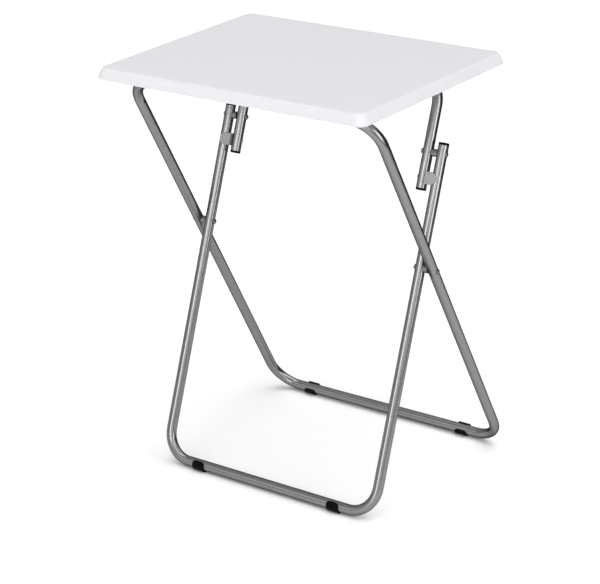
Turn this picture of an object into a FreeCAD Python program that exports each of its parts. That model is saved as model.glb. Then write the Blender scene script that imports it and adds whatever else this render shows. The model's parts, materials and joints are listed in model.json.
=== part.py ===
import FreeCAD, Part
import math
import os
import Sketcher
from FreeCAD import Placement, Rotation, Vector

# A folding tray table: a board on two crossed frames of bent tube, with a swinging bracket
# that joins the inner frame to the rear of the board. +Z is up, +X is to the right, and the
# origin is on the floor under the middle of the whole table.

# Driving dimensions in millimetres. Heights are above the floor, reaches are measured fore
# or aft of the middle of the board, and half widths run from the middle to a tube's axis.
DIMENSIONS = (
    ("top_length", 480, "board, left to right"),
    ("top_depth", 380, "board, front to back"),
    ("top_height", 660, "floor to upper face of the board"),
    ("top_thickness", 17.5, "board"),
    ("top_edge_inset", 6.5, "board, upper edge inside the lower edge"),
    ("top_corner_radius", 15, "board, seen from above"),
    ("top_upper_round", 4, "round on the board's upper edge"),
    ("top_lower_round", 2.5, "round on the board's lower edge"),
    ("tube_diameter", 16, "all frame tubes, outside"),
    ("tube_wall", 1.2, "all frame tubes"),
    ("inner_half_width", 198, "inner frame legs"),
    ("frame_gap", 6.5, "clear space between the inner and the outer legs"),
    ("bracket_gap", 8.5, "clear space between the inner legs and the bracket arms"),
    ("foot_bend", 44, "bend radius at the foot bars"),
    ("outer_top_bend", 45, "bend radius at the outer frame's top bar"),
    ("bracket_bend", 48, "bend radius of the bracket"),
    ("front_bar_reach", 122, "front foot bar, ahead of the middle of the board"),
    ("rear_bar_reach", 211, "rear foot bar, behind the middle of the board"),
    ("cross_reach", 14.3, "scissor pivot, behind the middle of the board"),
    ("cross_height", 365, "scissor pivot"),
    ("vent_diameter", 4, "vent hole in each outer leg"),
    ("vent_drop", 46, "vent hole below the outer frame's top bar"),
    ("bolt_diameter", 4, "both pairs of pivot bolts"),
    ("bolt_fit", 0.05, "radial clearance round a pivot bolt"),
    ("head_diameter", 7.5, "bolt head"),
    ("head_rim", 0.5, "straight edge of a bolt head"),
    ("head_rise", 1.2, "dome of a bolt head"),
    ("nut_flats", 7, "cap nut across flats"),
    ("nut_height", 1.8, "cap nut, hexagonal part"),
    ("nut_rise", 0.8, "dome of a cap nut"),
    ("washer_diameter", 8.4, "saddle washer"),
    ("washer_rise", 0.3, "saddle washer past the crest of its tube"),
    ("spacer_diameter", 11.5, "spacer between two tubes"),
    ("seat_gap", 0.02, "between a piece and the tube that it hugs"),
    ("running_gap", 0.3, "between faces that turn past each other"),
    ("plug_stem", 9, "plug, length inside the tube"),
    ("plug_flange", 3.4, "plug, straight edge outside the tube"),
    ("plug_rise", 0.4, "plug, domed end"),
    ("plug_fit", 0.05, "radial clearance of a plug in its tube"),
    ("leg_plug_room", 2.7, "between a leg's plug and its pivot bolt"),
    ("arm_plug_room", 5.4, "between an arm's plug and its rivet"),
    ("foot_length", 21, "foot, along its bar"),
    ("foot_wall", 2.4, "foot, round its bar"),
    ("foot_floor", 2, "foot, under its bar"),
    ("foot_wrap", 256, "degrees of the bar that a foot wraps"),
    ("foot_tip", 5.5, "round on the corners of a foot's front arm"),
    ("foot_heel", 1.5, "round on the corners of a foot's rear arm"),
    ("foot_edge", 0.8, "round on the feet's outer edges"),
    ("front_foot_inset", 25, "front feet's middle, from the bend of their bar"),
    ("rear_foot_inset", 26.5, "rear feet's middle, from the bend of their bar"),
    ("clip_drop", 38.4, "latch clip's rivet below the bracket pivot"),
    ("clip_height", 19, "latch clip, along the leg"),
    ("clip_reach", 2.8, "latch clip's nose past the leg's axis"),
    ("clip_nose", 9.5, "round of the latch clip's nose"),
    ("clip_jaw", 2.7, "latch clip, thickness ahead of the leg"),
    ("clip_web", 6, "latch clip, depth behind the leg's axis"),
    ("clip_edge", 1, "round on the latch clip's front edge"),
    ("rivet_diameter", 4, "clip rivet"),
    ("rivet_head", 5, "clip rivet's heads"),
    ("rivet_rim", 1.2, "straight edge of the rivet's domed head"),
    ("rivet_rise", 1, "dome of the rivet's head"),
    ("rivet_flat", 1.5, "rivet's flat head, in the clip's recess"),
    ("rivet_room", 1, "between that head and the mouth of its recess"),
    ("saddle_width", 24, "saddles, along the bar"),
    ("saddle_wall", 2.2, "saddles, round the bar"),
    ("saddle_flange", 3, "saddles, thickness of the screwed ears"),
    ("saddle_ear", 12, "saddles, length of the screwed ears"),
    ("saddle_web", 2, "front saddles, between bar and board"),
    ("saddle_depth", 5, "front saddles, reach below the bar's axis"),
    ("saddle_flare", 25, "degrees that the front saddle's mouth leans forward"),
    ("saddle_fit", 0.07, "radial clearance in the rear saddles"),
    ("front_saddle_inset", 35.5, "front saddles' middle, from the bend of their bar"),
    ("rear_saddle_inset", 20.5, "rear saddles' middle, from the bend of their bar"),
    ("screw_diameter", 3.5, "saddle screws"),
    ("screw_head", 7, "saddle screw heads"),
    ("screw_head_rim", 0.8, "straight edge of a screw head"),
    ("screw_head_rise", 1.5, "dome of a screw head"),
    ("screw_bite", 10, "screw length in the board"),
    ("screw_tip", 2.5, "pointed end of a screw"),
    ("screw_room", 0.5, "pilot hole beyond a screw's tip"),
    ("screw_fit", 0.05, "radial clearance of a screw in board and saddle"),
)

size = {alias: value for alias, value, note in DIMENSIONS}


def on_line(foot, pivot, height):
    """The point at a height on the line of a leg, seen from the side."""
    share = (height - foot[1]) / (pivot[1] - foot[1])
    return (foot[0] + (pivot[0] - foot[0]) * share, height)


# The linkage, seen from the side as (y, z).
tube_radius = size["tube_diameter"] / 2
foot_radius = tube_radius + size["foot_wall"]
top_y = -(size["rear_bar_reach"] + foot_radius - size["top_depth"] / 2) / 2
underside = size["top_height"] - size["top_thickness"]
bar_height = tube_radius + size["foot_floor"]
front_bar = (top_y - size["front_bar_reach"], bar_height)
rear_bar = (top_y + size["rear_bar_reach"], bar_height)
cross = (top_y + size["cross_reach"], size["cross_height"])
seat_drop = tube_radius + size["running_gap"]
rear_seat = on_line(front_bar, cross, underside - seat_drop)
front_seat = on_line(rear_bar, cross, underside - seat_drop - size["saddle_web"])
# The bracket pivot is placed so that the four bars of the linkage can fold flat.
inner_length = math.dist(cross, rear_seat)
outer_length = math.dist(cross, front_seat)
seat_span = math.dist(front_seat, rear_seat)
bracket_rise = (inner_length + outer_length - seat_span) / 2
bracket_length = inner_length - bracket_rise
hinge = on_line(cross, rear_seat, cross[1] + (rear_seat[1] - cross[1]) * bracket_rise / inner_length)
inner_lean = -math.degrees(math.atan2(cross[0] - front_bar[0], cross[1] - front_bar[1]))
outer_lean = math.degrees(math.atan2(rear_bar[0] - cross[0], cross[1] - rear_bar[1]))
# The board's edges flare downward, and its lower edge is rounded back to the stated size.
flare = math.atan2(size["top_edge_inset"], size["top_thickness"])
lower_excess = size["top_lower_round"] * (1 / math.tan((math.pi / 2 - flare) / 2) - 1)

PLACES = (
    ("foot_to_cross_inner", math.dist(front_bar, cross), "front foot bar to scissor pivot"),
    ("foot_to_cross_outer", math.dist(rear_bar, cross), "rear foot bar to scissor pivot"),
    ("cross_to_front_seat", outer_length, "scissor pivot to the outer frame's top bar"),
    ("cross_to_hinge", bracket_rise, "scissor pivot to bracket pivot"),
    ("hinge_to_rear_seat", bracket_length, "bracket pivot to the bracket's bar"),
    ("front_seat_y", front_seat[0] - top_y, "front saddles, from the middle of the board"),
    ("rear_seat_y", rear_seat[0] - top_y, "rear saddles, from the middle of the board"),
    ("lower_excess", lower_excess, "the board's lower edge before it is rounded"),
)

doc = FreeCAD.newDocument("folding_tray_table")


def number_sheet(name, rows):
    """A spreadsheet of plain numbers, each under its own alias."""
    sheet = doc.addObject("Spreadsheet::Sheet", name)
    for row, (alias, value, note) in enumerate(rows, start=1):
        sheet.set(f"A{row}", note)
        sheet.set(f"B{row}", str(value))
        sheet.setAlias(f"B{row}", alias)
    return sheet


sizes = number_sheet("Sizes", DIMENSIONS)
number_sheet("Places", PLACES)
doc.recompute()

# Expressions that several pieces share.
TUBE = "Sizes.tube_diameter / 2"
INNER = "Sizes.inner_half_width"
OUTER = "(Sizes.inner_half_width + Sizes.tube_diameter + Sizes.frame_gap)"
BRACKET = "(Sizes.inner_half_width - Sizes.tube_diameter - Sizes.bracket_gap)"
FRONT_FOOT = f"({INNER} - Sizes.foot_bend - Sizes.front_foot_inset)"
REAR_FOOT = f"({OUTER} - Sizes.foot_bend - Sizes.rear_foot_inset)"
FRONT_SADDLE = f"({OUTER} - Sizes.outer_top_bend - Sizes.front_saddle_inset)"
REAR_SADDLE = f"({BRACKET} - Sizes.bracket_bend - Sizes.rear_saddle_inset)"
HOLE = "(Sizes.bolt_diameter / 2 + Sizes.bolt_fit)"
LEG_END = "(Sizes.bolt_diameter / 2 + Sizes.leg_plug_room + Sizes.plug_stem)"
ARM_END = "(Sizes.clip_drop + Sizes.rivet_diameter / 2 + Sizes.arm_plug_room + Sizes.plug_stem)"

ALONG_X = Rotation(Vector(0, 1, 0), 90)
ALONG_MINUS_X = Rotation(Vector(0, 1, 0), -90)
DOWN = Rotation(Vector(1, 0, 0), 180)
THROUGH = 1000  # longer than any cut has to be

parts = []


def value(expression):
    """An expression's number in millimetres or degrees."""
    return float(sizes.evalExpression(expression))


def keep(label, piece, placement=None):
    """Names a finished sub-part, sets it in its place and puts it on the list to export."""
    piece.Label = label
    if placement is not None:
        piece.Placement = placement
    parts.append(piece)
    return piece


def leaning(point, lean):
    """The placement of a piece drawn upright round a point, on a leg that leans."""
    return Placement(Vector(0, point[0], point[1]), Rotation(Vector(1, 0, 0), lean))


def mirror_pair(name, right):
    """The left-hand copy of a right-hand sub-part."""
    left = doc.addObject("Part::Mirroring", name + "_mirrored")
    left.Source = right
    left.Normal = Vector(1, 0, 0)
    keep(name + "_left", left)


def keep_pair(name, right, placement=None):
    """Keeps a right-hand sub-part and its left-hand copy."""
    keep(name + "_right", right, placement)
    mirror_pair(name, right)


# Simple solids, bound to the sheets.

def rod(radius, start, end, rotation=ALONG_X, x="0", y="0"):
    """A round bar from start to end, along X or, with another rotation, along Z."""
    bar = doc.addObject("Part::Cylinder", "Rod")
    bar.setExpression("Radius", radius)
    bar.setExpression("Height", f"({end}) - ({start})")
    bar.Placement = Placement(Vector(), rotation)
    if rotation == ALONG_X:
        bar.setExpression("Placement.Base.x", start)
    else:
        bar.setExpression("Placement.Base.x", x)
        bar.setExpression("Placement.Base.z", start)
    bar.setExpression("Placement.Base.y", y)
    return bar


def dome(radius, rise, foot, rotation=ALONG_X, x="0", y="0"):
    """A cap cut from a ball, with its flat face at foot and its top at foot plus rise."""
    ball = f"((({radius})^2 + ({rise})^2) / (2 * ({rise})))"
    cap = doc.addObject("Part::Sphere", "Dome")
    cap.setExpression("Radius", ball)
    cap.setExpression("Angle1", f"asin(({ball} - ({rise})) / {ball})")
    cap.Placement = Placement(Vector(), rotation)
    below = f"({ball} - ({rise}))"
    if rotation == ALONG_X:
        cap.setExpression("Placement.Base.x", f"({foot}) - {below}")
    elif rotation == ALONG_MINUS_X:
        cap.setExpression("Placement.Base.x", f"({foot}) + {below}")
    else:
        sign = "+" if rotation == DOWN else "-"
        cap.setExpression("Placement.Base.x", x)
        cap.setExpression("Placement.Base.z", f"({foot}) {sign} {below}")
    cap.setExpression("Placement.Base.y", y)
    return cap


def block(x_range, y_range, z_range):
    """A box between three pairs of expressions."""
    box = doc.addObject("Part::Box", "Block")
    for side, axis, (low, high) in zip(("Length", "Width", "Height"), "xyz", (x_range, y_range, z_range)):
        box.setExpression(side, f"({high}) - ({low})")
        box.setExpression(f"Placement.Base.{axis}", low)
    return box


def fuse(*pieces):
    joined = doc.addObject("Part::MultiFuse", "Joined")
    joined.Shapes = list(pieces)
    joined.Refine = True
    return joined


def cut(piece, *tools):
    result = doc.addObject("Part::Cut", "Cut")
    result.Base = piece
    result.Tool = tools[0] if len(tools) == 1 else fuse(*tools)
    return result


def leg_core(half_width, gap="Sizes.seat_gap"):
    """The space that an upright tube takes, for cutting what hugs it."""
    return rod(f"{TUBE} + {gap}", f"-{THROUGH}", f"{THROUGH}", Rotation(), x=half_width)


# Sketch helpers.

def plane(body, role):
    """One of a body's own origin planes."""
    return next(face for face in body.Origin.OriginFeatures if face.Role == role)


def new_sketch(body, name, role):
    sketch = body.newObject("Sketcher::SketchObject", name)
    sketch.AttachmentSupport = [(plane(body, role), "")]
    sketch.MapMode = "FlatFace"
    return sketch


def hold(sketch, geometry, point, x, y):
    """Ties a point of a sketch to two expressions, measured from the origin."""
    for kind, axis, expression in (("DistanceX", -2, x), ("DistanceY", -1, y)):
        if expression == "0":
            sketch.addConstraint(Sketcher.Constraint("PointOnObject", geometry, point, axis))
            continue
        here = Sketcher.Constraint(kind, -1, 1, geometry, point, value(expression))
        index = sketch.addConstraint(here)
        sketch.setExpression(f"Constraints[{index}]", expression)


def add_circle(sketch, radius, x="0", y="0"):
    centre = Vector(0 if x == "0" else value(x), 0 if y == "0" else value(y), 0)
    circle = sketch.addGeometry(Part.Circle(centre, Vector(0, 0, 1), value(radius)), False)
    index = sketch.addConstraint(Sketcher.Constraint("Radius", circle, value(radius)))
    sketch.setExpression(f"Constraints[{index}]", radius)
    hold(sketch, circle, 3, x, y)


def add_polygon(sketch, corners):
    """A closed outline whose corners are pairs of expressions."""
    points = [Vector(0 if x == "0" else value(x), 0 if y == "0" else value(y), 0) for x, y in corners]
    count = len(points)
    lines = [sketch.addGeometry(Part.LineSegment(points[i], points[(i + 1) % count]), False)
             for i in range(count)]
    for i, line in enumerate(lines):
        sketch.addConstraint(Sketcher.Constraint("Coincident", line, 2, lines[(i + 1) % count], 1))
        hold(sketch, line, 1, *corners[i])


def add_bent_path(sketch, corners, bends):
    """Half of a tube's centre line: straight runs along X or Z, with a round bend at each corner."""
    spots = [Vector(0 if x == "0" else value(x), 0 if y == "0" else value(y), 0) for x, y in corners]
    runs = []
    start = spots[0]
    for i, bend in enumerate(bends, start=1):
        radius = value(bend)
        back = (spots[i - 1] - spots[i]).normalize()
        ahead = (spots[i + 1] - spots[i]).normalize()
        first = spots[i] + back * radius
        last = spots[i] + ahead * radius
        middle = spots[i] + (back + ahead) * (radius * (1 - math.sqrt(0.5)))
        runs.append(sketch.addGeometry(Part.LineSegment(start, first), False))
        runs.append(sketch.addGeometry(Part.Arc(first, middle, last), False))
        start = last
    runs.append(sketch.addGeometry(Part.LineSegment(start, spots[-1]), False))
    lines = runs[0::2]
    hold(sketch, lines[0], 1, "0", "0")
    for number, line in enumerate(lines):
        kind = "Horizontal" if number % 2 == 0 else "Vertical"
        sketch.addConstraint(Sketcher.Constraint(kind, line))
    for i, (arc, bend) in enumerate(zip(runs[1::2], bends), start=1):
        # A sketch's arc runs anticlockwise, so its first end is the far one where the path turns right.
        turns_left = (spots[i] - spots[i - 1]).cross(spots[i + 1] - spots[i]).z > 0
        near, far = (1, 2) if turns_left else (2, 1)
        sketch.addConstraint(Sketcher.Constraint("Tangent", arc - 1, 2, arc, near))
        sketch.addConstraint(Sketcher.Constraint("Tangent", arc, far, arc + 1, 1))
        index = sketch.addConstraint(Sketcher.Constraint("Radius", arc, value(bend)))
        sketch.setExpression(f"Constraints[{index}]", bend)
    index = sketch.addConstraint(Sketcher.Constraint("DistanceX", -1, 1, lines[1], 1, spots[1].x))
    sketch.setExpression(f"Constraints[{index}]", corners[1][0])
    index = sketch.addConstraint(Sketcher.Constraint("DistanceY", -1, 1, lines[-1], 2, spots[-1].y))
    sketch.setExpression(f"Constraints[{index}]", corners[-1][1])
    if len(bends) == 2:
        sketch.addConstraint(Sketcher.Constraint("PointOnObject", lines[-1], 2, -2))
    return [f"Edge{i + 1}" for i in range(len(runs))]


def pocket(body, sketch, length):
    """Cuts a sketch into a body by the same length on both sides of the sketch."""
    hollow = body.newObject("PartDesign::Pocket", "Pocket")
    hollow.Profile = sketch
    hollow.Type = "Length"
    hollow.Midplane = True
    hollow.setExpression("Length", length)
    return hollow


def edges_where(shape, test):
    """The names of the edges whose middle and direction pass a test."""
    names = []
    for i, edge in enumerate(shape.Edges, start=1):
        middle = edge.valueAt((edge.FirstParameter + edge.LastParameter) / 2)
        if test(middle, edge):
            names.append(f"Edge{i}")
    return names


def runs_along(edge, direction):
    """Whether an edge is straight and parallel to a direction."""
    if edge.Curve.TypeId != "Part::GeomLine":
        return False
    return abs(abs(edge.tangentAt(edge.FirstParameter).dot(direction)) - 1) < 1e-6


def round_edges(body, base, names, radius):
    """A fillet on named edges of the last feature."""
    fillet = body.newObject("PartDesign::Fillet", "Round")
    fillet.Base = (base, names)
    fillet.setExpression("Radius", radius)
    doc.recompute()
    return fillet


def bent_tube(label, corners, bends, holes, placement):
    """A frame of one bent tube, symmetric left and right, with bolt holes through both sides."""
    body = doc.addObject("PartDesign::Body", label)
    path = new_sketch(body, "Path", "XZ_Plane")
    edges = add_bent_path(path, corners, bends)
    section = new_sketch(body, "Section", "YZ_Plane")
    add_circle(section, TUBE)
    add_circle(section, f"{TUBE} - Sizes.tube_wall")
    pipe = body.newObject("PartDesign::AdditivePipe", "Pipe")
    pipe.Profile = section
    pipe.Spine = (path, edges)
    doc.recompute()
    both = body.newObject("PartDesign::Mirrored", "BothSides")
    both.Originals = [pipe]
    both.MirrorPlane = (plane(body, "YZ_Plane"), [""])
    body.Tip = both
    doc.recompute()
    drill = new_sketch(body, "Holes", "YZ_Plane")
    for height, radius in holes:
        add_circle(drill, radius, y=height)
    pocket(body, drill, f"{THROUGH}")
    return keep(label, body, placement)


# Inner frame: a loop that is open at its top.
bent_tube(
    "inner_frame_tube",
    corners=[("0", "0"), (INNER, "0"),
             (INNER, f"Places.foot_to_cross_inner + Places.cross_to_hinge + {LEG_END}")],
    bends=["Sizes.foot_bend"],
    holes=[("Places.foot_to_cross_inner", HOLE),
           ("Places.foot_to_cross_inner + Places.cross_to_hinge", HOLE)],
    placement=leaning(front_bar, inner_lean))

# Outer frame: a closed loop.
OUTER_RISE = "Places.foot_to_cross_outer + Places.cross_to_front_seat"
outer_tube = bent_tube(
    "outer_frame_tube",
    corners=[("0", "0"), (OUTER, "0"), (OUTER, OUTER_RISE), ("0", OUTER_RISE)],
    bends=["Sizes.foot_bend", "Sizes.outer_top_bend"],
    holes=[("Places.foot_to_cross_outer", HOLE)],
    placement=leaning(rear_bar, outer_lean))
vent = new_sketch(outer_tube, "Vent", "YZ_Plane")
add_circle(vent, "Sizes.vent_diameter / 2", y=f"{OUTER_RISE} - Sizes.vent_drop")
pocket(outer_tube, vent, f"2 * {OUTER}")

# Bracket: drawn from its bar, with its arms hanging down.
bracket_tube = bent_tube(
    "bracket_tube",
    corners=[("0", "0"), (BRACKET, "0"), (BRACKET, f"-(Places.hinge_to_rear_seat + {ARM_END})")],
    bends=["Sizes.bracket_bend"],
    holes=[("-Places.hinge_to_rear_seat", HOLE),
           ("-(Places.hinge_to_rear_seat + Sizes.clip_drop)", "Sizes.rivet_diameter / 2 + Sizes.bolt_fit")],
    placement=leaning(rear_seat, inner_lean))

# End plugs.

def plug(half_width, tube_end, direction):
    """A domed plug in the end of an upright tube; direction is 1 at an upper end, -1 at a lower one."""
    sign = "+" if direction > 0 else "-"
    mouth = f"({tube_end})"
    rim = f"({mouth} {sign} Sizes.plug_flange)"
    inside = f"({mouth} {'-' if direction > 0 else '+'} Sizes.plug_stem)"
    low, high = (inside, mouth) if direction > 0 else (mouth, inside)
    stem = rod(f"{TUBE} - Sizes.tube_wall - Sizes.plug_fit", low, high, Rotation(), x=half_width)
    low, high = (mouth, rim) if direction > 0 else (rim, mouth)
    flange = rod(TUBE, low, high, Rotation(), x=half_width)
    end = dome(TUBE, "Sizes.plug_rise", rim, Rotation() if direction > 0 else DOWN, x=half_width)
    return fuse(stem, flange, end)


at_hinge = leaning(hinge, inner_lean)
keep_pair("leg_plug", plug(INNER, LEG_END, 1), at_hinge)
keep_pair("arm_plug", plug(BRACKET, f"-{ARM_END}", -1), at_hinge)

# Pivot hardware. Every piece turns about X, the pivot's axis.

def bolt(tip, seat):
    """A pivot bolt from its tip to the seat of its domed head."""
    edge = f"({seat} + Sizes.head_rim)"
    shank = rod("Sizes.bolt_diameter / 2", tip, seat)
    head = rod("Sizes.head_diameter / 2", seat, edge)
    return fuse(shank, head, dome("Sizes.head_diameter / 2", "Sizes.head_rise", edge))


def cap_nut(face):
    """A domed nut that closes a bolt's tip; face is the side towards the tubes."""
    hexagon = doc.addObject("Part::Prism", "Hexagon")
    hexagon.Polygon = 6
    hexagon.setExpression("Circumradius", "Sizes.nut_flats / (2 * cos(30))")
    hexagon.setExpression("Height", "Sizes.nut_height")
    hexagon.Placement = Placement(Vector(), ALONG_MINUS_X)
    hexagon.setExpression("Placement.Base.x", face)
    cap = dome("Sizes.nut_flats / 2", "Sizes.nut_rise", f"{face} - Sizes.nut_height", ALONG_MINUS_X)
    return cut(fuse(hexagon, cap), rod(HOLE, f"{face} - Sizes.nut_height", face))


def hugging_ring(diameter, half_width, start, end):
    """A washer or spacer that is shaped to its tube on one side and flat on the other."""
    ring = rod(f"{diameter} / 2", start, end)
    return cut(ring, leg_core(half_width), rod(HOLE, f"-{THROUGH}", f"{THROUGH}"))


at_cross = leaning(cross, inner_lean)
outer_washer_face = f"({OUTER} + {TUBE} + Sizes.washer_rise)"
inner_nut_face = f"({INNER} - {TUBE} - Sizes.washer_rise)"
keep_pair("scissor_bolt", bolt(f"{inner_nut_face} - Sizes.nut_height",
                               f"({outer_washer_face} + Sizes.running_gap)"), at_cross)
keep_pair("scissor_nut", cap_nut(inner_nut_face), at_cross)
keep_pair("scissor_spacer", hugging_ring("Sizes.spacer_diameter", INNER, INNER,
                                         f"{OUTER} - {TUBE} - Sizes.running_gap"), at_cross)
keep_pair("scissor_inner_washer",
          hugging_ring("Sizes.washer_diameter", INNER, inner_nut_face, INNER), at_cross)
keep_pair("scissor_outer_washer", hugging_ring("Sizes.washer_diameter", OUTER, OUTER, outer_washer_face),
          leaning(cross, outer_lean))

leg_washer_face = f"({INNER} + {TUBE} + Sizes.washer_rise)"
arm_washer_face = f"({BRACKET} - {TUBE} - Sizes.washer_rise)"
arm_nut_face = f"({arm_washer_face} - Sizes.running_gap)"
keep_pair("bracket_bolt", bolt(f"{arm_nut_face} - Sizes.nut_height", leg_washer_face), at_hinge)
keep_pair("bracket_nut", cap_nut(arm_nut_face), at_hinge)
keep_pair("bracket_spacer", hugging_ring("Sizes.spacer_diameter", INNER,
                                         f"{BRACKET} + {TUBE} + Sizes.running_gap", INNER), at_hinge)
keep_pair("leg_washer", hugging_ring("Sizes.washer_diameter", INNER, INNER, leg_washer_face), at_hinge)
keep_pair("arm_washer", hugging_ring("Sizes.washer_diameter", BRACKET, arm_washer_face, BRACKET), at_hinge)

# Latch clips: a web beside each bracket arm, with a jaw ahead of the inner leg. The channel is
# open to the rear, so the clip comes off the leg when the bracket swings forward.
CLIP_BACK = f"({BRACKET} + {TUBE} + Sizes.seat_gap)"
CLIP_FRONT = f"({TUBE} + Sizes.running_gap + Sizes.clip_jaw)"
RIVET_HOLE = "(Sizes.rivet_diameter / 2 + Sizes.bolt_fit)"
clip = doc.addObject("PartDesign::Body", "latch_clip_right")
outline = new_sketch(clip, "Outline", "XZ_Plane")
clip_nose_end = f"({INNER} + Sizes.clip_reach)"
half_clip = "(Sizes.clip_height / 2)"
add_polygon(outline, [(CLIP_BACK, f"-{half_clip}"), (clip_nose_end, f"-{half_clip}"),
                      (clip_nose_end, half_clip), (CLIP_BACK, half_clip)])
plate = clip.newObject("PartDesign::Pad", "Plate")
plate.Profile = outline
plate.SideType = "Two sides"
plate.setExpression("Length", CLIP_FRONT)
plate.setExpression("Length2", "Sizes.clip_web")
doc.recompute()
nose = edges_where(plate.Shape, lambda middle, edge: runs_along(edge, Vector(0, 1, 0))
                   and abs(middle.x - value(clip_nose_end)) < 1e-6)
rounded = round_edges(clip, plate, nose, "min(Sizes.clip_nose; Sizes.clip_height / 2 - 0.1)")
front_y = -value(CLIP_FRONT)
front = edges_where(rounded.Shape, lambda middle, edge: abs(middle.y - front_y) < 1e-6)
softened = round_edges(clip, rounded, front, "Sizes.clip_edge")
channel = new_sketch(clip, "Channel", "XY_Plane")
add_circle(channel, f"{TUBE} + Sizes.running_gap", x=INNER)
pocket(clip, channel, f"{THROUGH}")
mouth = new_sketch(clip, "Mouth", "XY_Plane")
channel_wall = f"{INNER} - {TUBE} - Sizes.running_gap"
add_polygon(mouth, [(channel_wall, "0"), (f"2 * {INNER}", "0"), (f"2 * {INNER}", "4 * Sizes.clip_web"),
                    (channel_wall, "4 * Sizes.clip_web")])
pocket(clip, mouth, f"{THROUGH}")
rivet_seat = f"({channel_wall} - Sizes.rivet_flat - Sizes.rivet_room)"
rivet_hole = new_sketch(clip, "RivetHole", "XZ_Plane")
recess = "(Sizes.rivet_head / 2 + Sizes.bolt_fit)"
add_polygon(rivet_hole, [(BRACKET, "0"), (INNER, "0"), (INNER, recess), (rivet_seat, recess),
                         (rivet_seat, RIVET_HOLE), (BRACKET, RIVET_HOLE)])
bore = clip.newObject("PartDesign::Groove", "RivetBore")
bore.Profile = rivet_hole
bore.ReferenceAxis = (rivet_hole, ["H_Axis"])
bore.Angle = 360

clip_point = on_line(front_bar, cross, hinge[1] - size["clip_drop"] * math.cos(math.radians(inner_lean)))
at_clip = leaning(clip_point, inner_lean)
keep_pair("latch_clip", clip, at_clip)

rivet_crest = f"({BRACKET} - {TUBE} - Sizes.rivet_rim)"
rivet = fuse(
    rod("Sizes.rivet_diameter / 2", rivet_crest, rivet_seat),
    cut(rod("Sizes.rivet_head / 2", rivet_crest, BRACKET), leg_core(BRACKET)),
    dome("Sizes.rivet_head / 2", "Sizes.rivet_rise", rivet_crest, ALONG_MINUS_X),
    rod("Sizes.rivet_head / 2", rivet_seat, f"{rivet_seat} + Sizes.rivet_flat"))
keep_pair("clip_rivet", rivet, at_clip)

# Feet: open clips round the foot bars, open towards the leg and flat underneath.
X_TO_Y_TO_Z = Rotation(Vector(1, 1, 1), 120)


def soften(piece, test, radius):
    """A fillet on the edges of a plain solid that pass a test."""
    doc.recompute()
    softened = doc.addObject("Part::Fillet", "Softened")
    softened.Base = piece
    softened.Edges = [(int(name[4:]), radius, radius) for name in edges_where(piece.Shape, test)]
    return softened


def crosses_wall(edge):
    """Whether an edge of a foot runs straight from its bore to its outside."""
    return edge.Curve.TypeId == "Part::GeomLine" and not runs_along(edge, Vector(1, 0, 0))


def foot(middle, lean):
    """A foot drawn round its bar's axis: a sleeve with rounded tips, cut flat under the bar."""
    shell = doc.addObject("Part::Cylinder", "FootShell")
    shell.setExpression("Radius", f"{TUBE} + Sizes.foot_wall")
    shell.setExpression("Height", "Sizes.foot_length")
    shell.setExpression("Angle", "Sizes.foot_wrap")
    first_side = lean - 90 - size["foot_wrap"] / 2
    shell.Placement = Placement(Vector(), X_TO_Y_TO_Z * Rotation(Vector(0, 0, 1), first_side))
    shell.setExpression("Placement.Base.x", f"{middle} - Sizes.foot_length / 2")
    sleeve = cut(shell, rod(f"{TUBE} + Sizes.seat_gap", "0", f"2 * {middle}"))
    tip = soften(sleeve, lambda point, edge: crosses_wall(edge) and point.y < 0, size["foot_tip"])
    heel = soften(tip, lambda point, edge: crosses_wall(edge) and point.y > 0, size["foot_heel"])
    rims = soften(heel, lambda point, edge: abs(math.hypot(point.y, point.z) - foot_radius) < 1e-3,
                  size["foot_edge"])
    ground = block(("0", f"2 * {middle}"), (f"-{THROUGH}", f"{THROUGH}"),
                   (f"-{THROUGH}", f"-({TUBE} + Sizes.foot_floor)"))
    return cut(rims, ground)


keep_pair("front_foot", foot(FRONT_FOOT, inner_lean), Placement(Vector(0, *front_bar), Rotation()))
keep_pair("rear_foot", foot(REAR_FOOT, outer_lean), Placement(Vector(0, *rear_bar), Rotation()))

# Saddles under the board. A rear saddle straps the bracket's bar to the board. A front saddle is
# open below, and the front of its mouth leans forward, the way that the bar leaves and comes back.
REAR_HOLLOW = f"({TUBE} + Sizes.saddle_fit)"
REAR_SIDE = f"({REAR_HOLLOW} + Sizes.saddle_wall)"
REAR_TOP = f"({TUBE} + Sizes.running_gap)"
FRONT_HOLLOW = f"({TUBE} + Sizes.running_gap)"
FRONT_BACK = f"({FRONT_HOLLOW} + Sizes.saddle_wall)"
FRONT_FACE = (f"({FRONT_HOLLOW} / cos(Sizes.saddle_flare) + Sizes.saddle_depth * tan(Sizes.saddle_flare)"
              " + Sizes.saddle_wall)")
FRONT_TOP = f"({FRONT_HOLLOW} + Sizes.saddle_web)"
HALF_EAR = "Sizes.saddle_ear / 2"
SCREW_HOLE = "(Sizes.screw_diameter / 2 + Sizes.screw_fit)"
REAR_SCREWS = (f"({REAR_SIDE} + {HALF_EAR})", f"(-{REAR_SIDE} - {HALF_EAR})")
FRONT_SCREWS = (f"({FRONT_BACK} + {HALF_EAR})", f"(-{FRONT_FACE} - {HALF_EAR})")


def saddle_span(middle):
    return (f"{middle} - Sizes.saddle_width / 2", f"{middle} + Sizes.saddle_width / 2")


def ears(span, front, back, top):
    """The plate that is screwed to the board."""
    return block(span, (f"-{front} - Sizes.saddle_ear", f"{back} + Sizes.saddle_ear"),
                 (f"{top} - Sizes.saddle_flange", top))


def screw_holes(middle, offsets):
    return [rod(SCREW_HOLE, "0", f"{THROUGH}", Rotation(), x=middle, y=y) for y in offsets]


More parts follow.
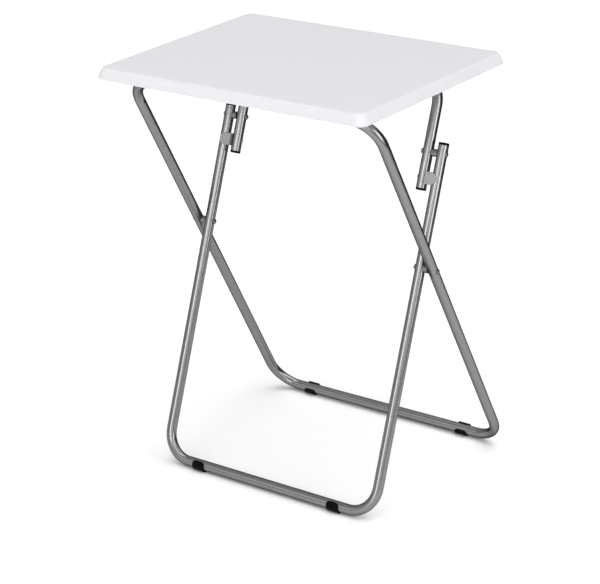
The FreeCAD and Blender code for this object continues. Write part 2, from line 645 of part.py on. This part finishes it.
def rear_saddle(middle):
    span = saddle_span(middle)
    strap = fuse(rod(REAR_SIDE, *span), block(span, (f"-{REAR_SIDE}", REAR_SIDE), ("0", REAR_TOP)),
                 ears(span, REAR_SIDE, REAR_SIDE, REAR_TOP))
    hollow = block(("0", f"2 * {middle}"), (f"-{REAR_HOLLOW}", REAR_HOLLOW), ("0", f"2 * {REAR_TOP}"))
    bar = rod(REAR_HOLLOW, "0", f"2 * {middle}")
    return cut(strap, hollow, bar, *screw_holes(middle, REAR_SCREWS))


def front_saddle(middle):
    span = saddle_span(middle)
    body = fuse(block(span, (f"-{FRONT_FACE}", FRONT_BACK), ("-Sizes.saddle_depth", FRONT_TOP)),
                ears(span, FRONT_FACE, FRONT_BACK, FRONT_TOP))
    seat = rod(FRONT_HOLLOW, "0", f"2 * {middle}")
    slot = (("0", f"2 * {middle}"), (f"-{FRONT_HOLLOW}", FRONT_HOLLOW), (f"-4 * {FRONT_HOLLOW}", "0"))
    straight = block(*slot)
    flared = block(*slot)
    lean = Rotation(Vector(1, 0, 0), -size["saddle_flare"])
    corner = Vector(0, -value(FRONT_HOLLOW), -4 * value(FRONT_HOLLOW))
    for axis in "xyz":
        flared.setExpression(f"Placement.Base.{axis}", None)
    flared.Placement = Placement(lean.multVec(corner), lean)
    return cut(body, seat, straight, flared, *screw_holes(middle, FRONT_SCREWS))


keep_pair("front_saddle", front_saddle(FRONT_SADDLE), Placement(Vector(0, *front_seat), Rotation()))
keep_pair("rear_saddle", rear_saddle(REAR_SADDLE), Placement(Vector(0, *rear_seat), Rotation()))


def saddle_screws(middle, offsets):
    """The two pan-head screws of one saddle, drawn from the underside of the board."""
    seat = "-Sizes.saddle_flange"
    rim = f"({seat} - Sizes.screw_head_rim)"
    shoulder = "(Sizes.screw_bite - Sizes.screw_tip)"
    pair = doc.addObject("Part::Compound", "Screws")
    screws = []
    for y in offsets:
        where = {"rotation": Rotation(), "x": middle, "y": y}
        point = doc.addObject("Part::Cone", "ScrewPoint")
        point.setExpression("Radius1", "Sizes.screw_diameter / 2")
        point.setExpression("Radius2", "Sizes.screw_diameter / 10")
        point.setExpression("Height", "Sizes.screw_tip")
        point.setExpression("Placement.Base.x", middle)
        point.setExpression("Placement.Base.y", y)
        point.setExpression("Placement.Base.z", shoulder)
        head = rod("Sizes.screw_head / 2", rim, seat, **where)
        cap = dome("Sizes.screw_head / 2", "Sizes.screw_head_rise", rim, DOWN, x=middle, y=y)
        screws.append(fuse(rod("Sizes.screw_diameter / 2", seat, shoulder, **where), head, cap, point))
    pair.Links = screws
    return pair


def under_board(seat):
    return Placement(Vector(0, seat[0], underside), Rotation())


keep_pair("front_saddle_screws", saddle_screws(FRONT_SADDLE, FRONT_SCREWS), under_board(front_seat))
keep_pair("rear_saddle_screws", saddle_screws(REAR_SADDLE, REAR_SCREWS), under_board(rear_seat))

# Board, drawn from the middle of its underside.
board = doc.addObject("PartDesign::Body", "table_top")
plan = new_sketch(board, "Plan", "XY_Plane")
half_length = "(Sizes.top_length / 2 + Places.lower_excess)"
half_depth = "(Sizes.top_depth / 2 + Places.lower_excess)"
add_polygon(plan, [(f"-{half_length}", f"-{half_depth}"), (half_length, f"-{half_depth}"),
                   (half_length, half_depth), (f"-{half_length}", half_depth)])
panel = board.newObject("PartDesign::Pad", "Panel")
panel.Profile = plan
panel.setExpression("Length", "Sizes.top_thickness")
panel.setExpression("TaperAngle", "-atan(Sizes.top_edge_inset / Sizes.top_thickness)")
doc.recompute()
corners = edges_where(panel.Shape, lambda middle, edge: 0.1 < middle.z / size["top_thickness"] < 0.9)
rounded = round_edges(board, panel, corners, "Sizes.top_corner_radius")
upper = edges_where(rounded.Shape, lambda middle, edge: abs(middle.z - size["top_thickness"]) < 1e-6)
rounded = round_edges(board, rounded, upper, "Sizes.top_upper_round")
lower = edges_where(rounded.Shape, lambda middle, edge: abs(middle.z) < 1e-6)
rounded = round_edges(board, rounded, lower, "Sizes.top_lower_round")
pilots = new_sketch(board, "PilotHoles", "XY_Plane")
for middle, seat, offsets in ((FRONT_SADDLE, "Places.front_seat_y", FRONT_SCREWS),
                              (REAR_SADDLE, "Places.rear_seat_y", REAR_SCREWS)):
    for offset in offsets:
        for side in ("", "-"):
            add_circle(pilots, SCREW_HOLE, x=side + middle, y=f"{seat} + {offset}")
drilled = board.newObject("PartDesign::Pocket", "Pilots")
drilled.Profile = pilots
drilled.Reversed = True
drilled.setExpression("Length", "Sizes.screw_bite + Sizes.screw_room")
keep("table_top", board, Placement(Vector(0, top_y, underside), Rotation()))

doc.recompute()
for item in doc.Objects:
    if "Invalid" in item.State or "Error" in item.State:
        raise RuntimeError(f"{item.Label} did not recompute: {item.State}")
os.makedirs("parts", exist_ok=True)
for piece in parts:
    shape = piece.Shape
    if shape.isNull() or not shape.isValid():
        raise RuntimeError(f"{piece.Label} has no valid shape")
for piece in parts:
    piece.Shape.exportStep(f"parts/{piece.Label}.step")
    print(piece.Label, len(piece.Shape.Solids), round(piece.Shape.Volume, 1))
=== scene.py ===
import json
import math

import bpy
from mathutils import Matrix, Vector


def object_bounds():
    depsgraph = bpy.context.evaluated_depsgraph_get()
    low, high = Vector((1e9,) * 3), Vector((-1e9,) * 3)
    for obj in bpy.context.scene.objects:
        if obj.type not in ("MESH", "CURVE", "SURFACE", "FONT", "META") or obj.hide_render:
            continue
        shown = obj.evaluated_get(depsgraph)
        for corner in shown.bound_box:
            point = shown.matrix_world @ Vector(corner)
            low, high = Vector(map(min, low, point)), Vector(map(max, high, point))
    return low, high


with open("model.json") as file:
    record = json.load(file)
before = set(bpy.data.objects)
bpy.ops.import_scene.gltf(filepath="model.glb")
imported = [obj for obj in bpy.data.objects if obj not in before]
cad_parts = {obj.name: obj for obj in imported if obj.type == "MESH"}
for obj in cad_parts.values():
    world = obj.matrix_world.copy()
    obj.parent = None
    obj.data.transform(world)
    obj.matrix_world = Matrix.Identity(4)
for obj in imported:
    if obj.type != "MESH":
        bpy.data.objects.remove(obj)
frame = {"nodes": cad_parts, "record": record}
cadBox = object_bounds()
print("frame loaded:", len(frame["nodes"]), "nodes")


# Shader maths: a Wire is one output of a node, and sums on it add the nodes that work them out.
class Wire:
    def __init__(self, graph, socket):
        self.graph = graph
        self.socket = socket

    def maths(self, operation, first, second):
        return self.graph.node("ShaderNodeMath", {0: first, 1: second}, operation=operation)

    def __add__(self, other):
        return self.maths("ADD", self, other)

    def __sub__(self, other):
        return self.maths("SUBTRACT", self, other)

    def __rsub__(self, other):
        return self.maths("SUBTRACT", other, self)

    def __mul__(self, other):
        return self.maths("MULTIPLY", self, other)

    __radd__ = __add__


# The nodes of one material, or of the world.
class Graph:
    def __init__(self, owner):
        owner.use_nodes = True
        self.tree = owner.node_tree

    def feed(self, node, sockets):
        for key, value in sockets.items():
            if isinstance(value, Wire):
                self.tree.links.new(value.socket, node.inputs[key])
            else:
                node.inputs[key].default_value = value

    def node(self, kind, sockets=None, output=0, **settings):
        made = self.tree.nodes.new(kind)
        for name, value in settings.items():
            setattr(made, name, value)
        self.feed(made, sockets or {})
        return Wire(self, made.outputs[output])


# One material. Its constants go straight on the shader, and its maps are linked to it.
class Finish(Graph):
    noiseMiddle = 0.5

    def __init__(self, name, values):
        self.values = values
        self.material = bpy.data.materials.new(name)
        self.material.diffuse_color = (*values["colour"], 1)
        super().__init__(self.material)
        self.shader = self.tree.nodes["Principled BSDF"]
        self.feed(self.shader, {"Base Color": (*values["colour"], 1), **values["surface"]})

    def noise(self, perMetre, detail, stretch=None):
        spot = self.node("ShaderNodeTexCoord", output="Object")
        if stretch:
            spot = self.node("ShaderNodeMapping", {"Vector": spot, "Scale": stretch})
        return self.node("ShaderNodeTexNoise", {"Vector": spot, "Scale": perMetre, "Detail": detail})

    def mottle(self, mask):
        # the colour from its darkest shade to its lightest, as the mask rises
        dark, light = [
            (*(channel * share for channel in self.values["colour"]), 1)
            for share in self.values["shades"]
        ]
        return self.node("ShaderNodeMix", {"Factor": mask, "A": dark, "B": light}, output="Result",
                         data_type="RGBA")

    def wear(self, mask, grain, cloud, relief):
        # the mask varies the colour, the grain and the cloud vary the roughness, and the relief is bump
        values = self.values
        roughness = (values["surface"]["Roughness"]
                     + (grain - self.noiseMiddle) * values["grainRoughness"]
                     + (cloud - self.noiseMiddle) * values["cloudRoughness"])
        bump = self.node("ShaderNodeBump", {"Height": relief, "Distance": values["reliefDepth"]})
        self.feed(self.shader, {"Base Color": self.mottle(mask), "Roughness": roughness, "Normal": bump})
        return self.material


# Frames: satin silver-grey powder coat with a fine flake.
tubePaint = {
    "colour": (0.250, 0.2475, 0.250),
    "shades": (0.95, 1.05),
    "surface": {"Metallic": 1, "Specular Tint": (0.08, 0.08, 0.085, 1), "Roughness": 0.26},
    "flakePerMetre": 3400,
    "flakeShare": 0.7,
    "grainRoughness": 0.02,
    "cloudPerMetre": 14,
    "cloudRoughness": 0.05,
    "peelPerMetre": 600,
    "reliefDepth": 0.000008,
    "detail": 1,
}


def paintTubes():
    # the flake is the grain, and the soft peel of sprayed paint is the relief
    values = tubePaint
    finish = Finish("silverPaint", values)
    flake = finish.noise(values["flakePerMetre"], values["detail"])
    cloud = finish.noise(values["cloudPerMetre"], values["detail"])
    peel = finish.noise(values["peelPerMetre"], values["detail"])
    mask = flake * values["flakeShare"] + cloud * (1 - values["flakeShare"])
    return finish.wear(mask, flake, cloud, peel)


# Board: white foil with a fine satin grain.
boardFoil = {
    "colour": (0.620, 0.611, 0.634),
    "shades": (0.988, 1.012),
    "surface": {"Specular IOR Level": 0.3, "Roughness": 0.50},
    "grainPerMetre": 1500,
    "grainRoughness": 0.12,
    "cloudPerMetre": 9,
    "cloudDetail": 3,
    "cloudRoughness": 0.05,
    "reliefDepth": 0.00003,
}

# Plugs and feet: glossy black moulding.
blackMoulding = {
    "colour": (0.0025, 0.0025, 0.0025),
    "shades": (0.93, 1.07),
    "surface": {"Specular IOR Level": 0.04, "Roughness": 0.34},
    "grainPerMetre": 900,
    "grainRoughness": 0.14,
    "cloudPerMetre": 60,
    "cloudDetail": 2,
    "cloudRoughness": 0.06,
    "reliefDepth": 0.00003,
}

# Latch clips and saddles: grey nylon.
greyMoulding = {
    "colour": (0.288, 0.286, 0.291),
    "shades": (0.93, 1.07),
    "surface": {"Specular IOR Level": 0.4, "Roughness": 0.46},
    "grainPerMetre": 1100,
    "grainRoughness": 0.14,
    "cloudPerMetre": 60,
    "cloudDetail": 2,
    "cloudRoughness": 0.06,
    "reliefDepth": 0.00004,
}

# Bolts, nuts, washers, spacers, rivets and screws: zinc plate, brushed along X.
zincPlate = {
    "colour": (0.23, 0.23, 0.24),
    "shades": (0.82, 1.12),
    "surface": {"Metallic": 1, "Specular Tint": (0.03, 0.03, 0.03, 1), "Roughness": 0.34},
    "grainPerMetre": 2200,
    "grainStretch": (0.15, 1, 1),
    "grainRoughness": 0.2,
    "cloudPerMetre": 240,
    "cloudDetail": 3,
    "cloudRoughness": 0.12,
    "reliefDepth": 0.00002,
}


def coatPieces(name, values):
    # a fine grain for the relief, and broad clouds for the colour
    finish = Finish(name, values)
    grain = finish.noise(values["grainPerMetre"], detail=2, stretch=values.get("grainStretch"))
    cloud = finish.noise(values["cloudPerMetre"], values["cloudDetail"])
    return finish.wear(cloud, grain, cloud, grain)


finishes = {
    "silver_paint": paintTubes(),
    "white_board": coatPieces("whiteFoil", boardFoil),
    "black_plastic": coatPieces("blackMoulding", blackMoulding),
    "grey_plastic": coatPieces("greyMoulding", greyMoulding),
    "zinc_steel": coatPieces("zincPlate", zincPlate),
}
for part in frame["record"]["subparts"]:
    node = frame["nodes"][part["node"]]
    node.data.materials.clear()
    node.data.materials.append(finishes[part["material_slot"]])
print("finishes made:", len(finishes))


# Floor: a pale sheet, and a far one round it. Each has its range in X and its range in Y.
floorPaper = {
    "colour": (0.9, 0.9, 0.9),
    "surface": {"Specular IOR Level": 0.1, "Roughness": 0.9},
    "near": ((-3, 1.15), (-3, 1)),
    "far": ((-30, 30), (-30, 30)),
}


def layFloor(name, corners, faces, paper, mirrored):
    mesh = bpy.data.meshes.new(name)
    mesh.from_pydata(corners, [], faces)
    mesh.materials.append(paper)
    floor = bpy.data.objects.new(name, mesh)
    bpy.context.scene.collection.objects.link(floor)
    floor.location.z = cadBox[0].z
    floor.visible_glossy = mirrored


def layFloors():
    # only the near floor shows in the tubes
    paper = Finish("paleFloor", floorPaper).material
    near, far = [
        [(left, front, 0), (right, front, 0), (right, back, 0), (left, back, 0)]
        for (left, right), (front, back) in (floorPaper["near"], floorPaper["far"])
    ]
    ring = [(4, 5, 1, 0), (5, 6, 2, 1), (6, 7, 3, 2), (7, 4, 0, 3)]
    layFloor("nearFloor", near, [(0, 1, 2, 3)], paper, mirrored=True)
    layFloor("farFloor", near + far, ring, paper, mirrored=False)


# Room: soft light from all round, and a white backdrop. It is dim behind the table's right, which
# darkens one edge of each tube.
room = {
    "colour": (1.0, 0.995, 0.99),
    "strength": 0.54,
    "backdropStrength": 1.2,
    "darkSide": (0.6, 0.8, -0.1),
    "darkShare": 0.15,
    "darkFrom": 0.2,
    "darkTo": 0.75,
}


def lightRoom():
    world = bpy.data.worlds.new("studioWorld")
    graph = Graph(world)
    heading = graph.node("ShaderNodeTexCoord", output="Generated")
    facing = graph.node("ShaderNodeVectorMath", {0: heading, 1: Vector(room["darkSide"]).normalized()},
                        output="Value", operation="DOT_PRODUCT")
    share = graph.node("ShaderNodeMapRange",
                       {"Value": facing, "From Min": room["darkFrom"], "From Max": room["darkTo"],
                        "To Min": 1, "To Max": room["darkShare"]},
                       interpolation_type="SMOOTHSTEP")
    seen = graph.node("ShaderNodeLightPath", output="Is Camera Ray")
    strength = share * room["strength"] * (1 - seen) + seen * room["backdropStrength"]
    graph.feed(graph.tree.nodes["Background"], {"Color": (*room["colour"], 1), "Strength": strength})
    bpy.context.scene.world = world


# Lights: a wide soft sun from above, and boxes in front and at the sides. The glint and side boxes
# brighten the shine alone.
skySoft = {"energy": 2.26, "place": (0.2, 0.1, 0.95), "target": (0, 0, 0), "angle": 75}
plainBox = {"target": (0, 0, 0.35), "colour": (1, 1, 1), "shineOnly": False}
lightBoxes = {
    "frontBox": {"energy": 20, "place": (0, -2.6, 0.95), "width": 0.9, "height": 1.8},
    "leftBox": {"energy": 4.5, "place": (-1.7, -2.4, 1.75), "width": 1.0, "height": 1.2},
    "nearBox": {"energy": 11.5, "place": (2.2, -3.0, 1.4), "width": 1.8, "height": 1.4},
    "glintBox": {"energy": 1.1, "place": (0.45, -1.2, 0.95), "width": 0.5, "height": 0.3,
                 "target": (0.2, 0.1, 0.5), "colour": (0.84, 0.93, 1.0), "shineOnly": True},
    "rightBox": {"energy": 8.2, "place": (1.7, -0.2, 0.85), "width": 0.7, "height": 1.2},
    "sideBox": {"energy": 0.5, "place": (0.8, -0.1, 0.6), "width": 0.25, "height": 0.5,
                "target": (0.2, 0, 0.5), "colour": (0.88, 0.95, 1.0), "shineOnly": True},
}


def hangLight(name, kind, values):
    lamp = bpy.data.lights.new(name, kind)
    lamp.energy = values["energy"]
    light = bpy.data.objects.new(name, lamp)
    bpy.context.scene.collection.objects.link(light)
    light.location = values["place"]
    aim = Vector(values["target"]) - Vector(values["place"])
    light.rotation_euler = aim.to_track_quat("-Z", "Y").to_euler()
    light.visible_camera = False
    return light


def hangLights():
    sky = hangLight("skySoft", "SUN", skySoft)
    sky.data.angle = math.radians(skySoft["angle"])
    for name, ownValues in lightBoxes.items():
        values = {**plainBox, **ownValues}
        box = hangLight(name, "AREA", values)
        box.data.color = values["colour"]
        box.data.shape = "RECTANGLE"
        box.data.size = values["width"]
        box.data.size_y = values["height"]
        box.visible_diffuse = not values["shineOnly"]


# Camera: turn, tilt and roll are in degrees, the lens and its sensor in millimetres.
cameraSetup = {
    "place": (1.82042, -2.50737, 1.52285),
    "turn": 36.37,
    "tilt": 21.78,
    "roll": -1.73,
    "lens": 129.24,
    "sensorWidth": 36,
    "farthest": 200,
}


def setCamera():
    turn = math.radians(cameraSetup["turn"])
    tilt = math.radians(cameraSetup["tilt"])
    roll = math.radians(cameraSetup["roll"])
    back = Vector((math.sin(turn) * math.cos(tilt), -math.cos(turn) * math.cos(tilt), math.sin(tilt)))
    level = Vector((0, 0, 1)).cross(back).normalized()
    upright = back.cross(level)
    right = level * math.cos(roll) + upright * math.sin(roll)
    up = upright * math.cos(roll) - level * math.sin(roll)
    lens = bpy.data.cameras.new("studioCamera")
    lens.lens = cameraSetup["lens"]
    lens.sensor_width = cameraSetup["sensorWidth"]
    lens.clip_end = cameraSetup["farthest"]
    camera = bpy.data.objects.new("studioCamera", lens)
    bpy.context.scene.collection.objects.link(camera)
    facing = Matrix((right, up, back)).transposed().to_4x4()
    camera.matrix_world = Matrix.Translation(cameraSetup["place"]) @ facing
    bpy.context.scene.camera = camera


layFloors()
lightRoom()
hangLights()
setCamera()
bpy.context.scene.view_settings.view_transform = "Standard"
print("studio set")
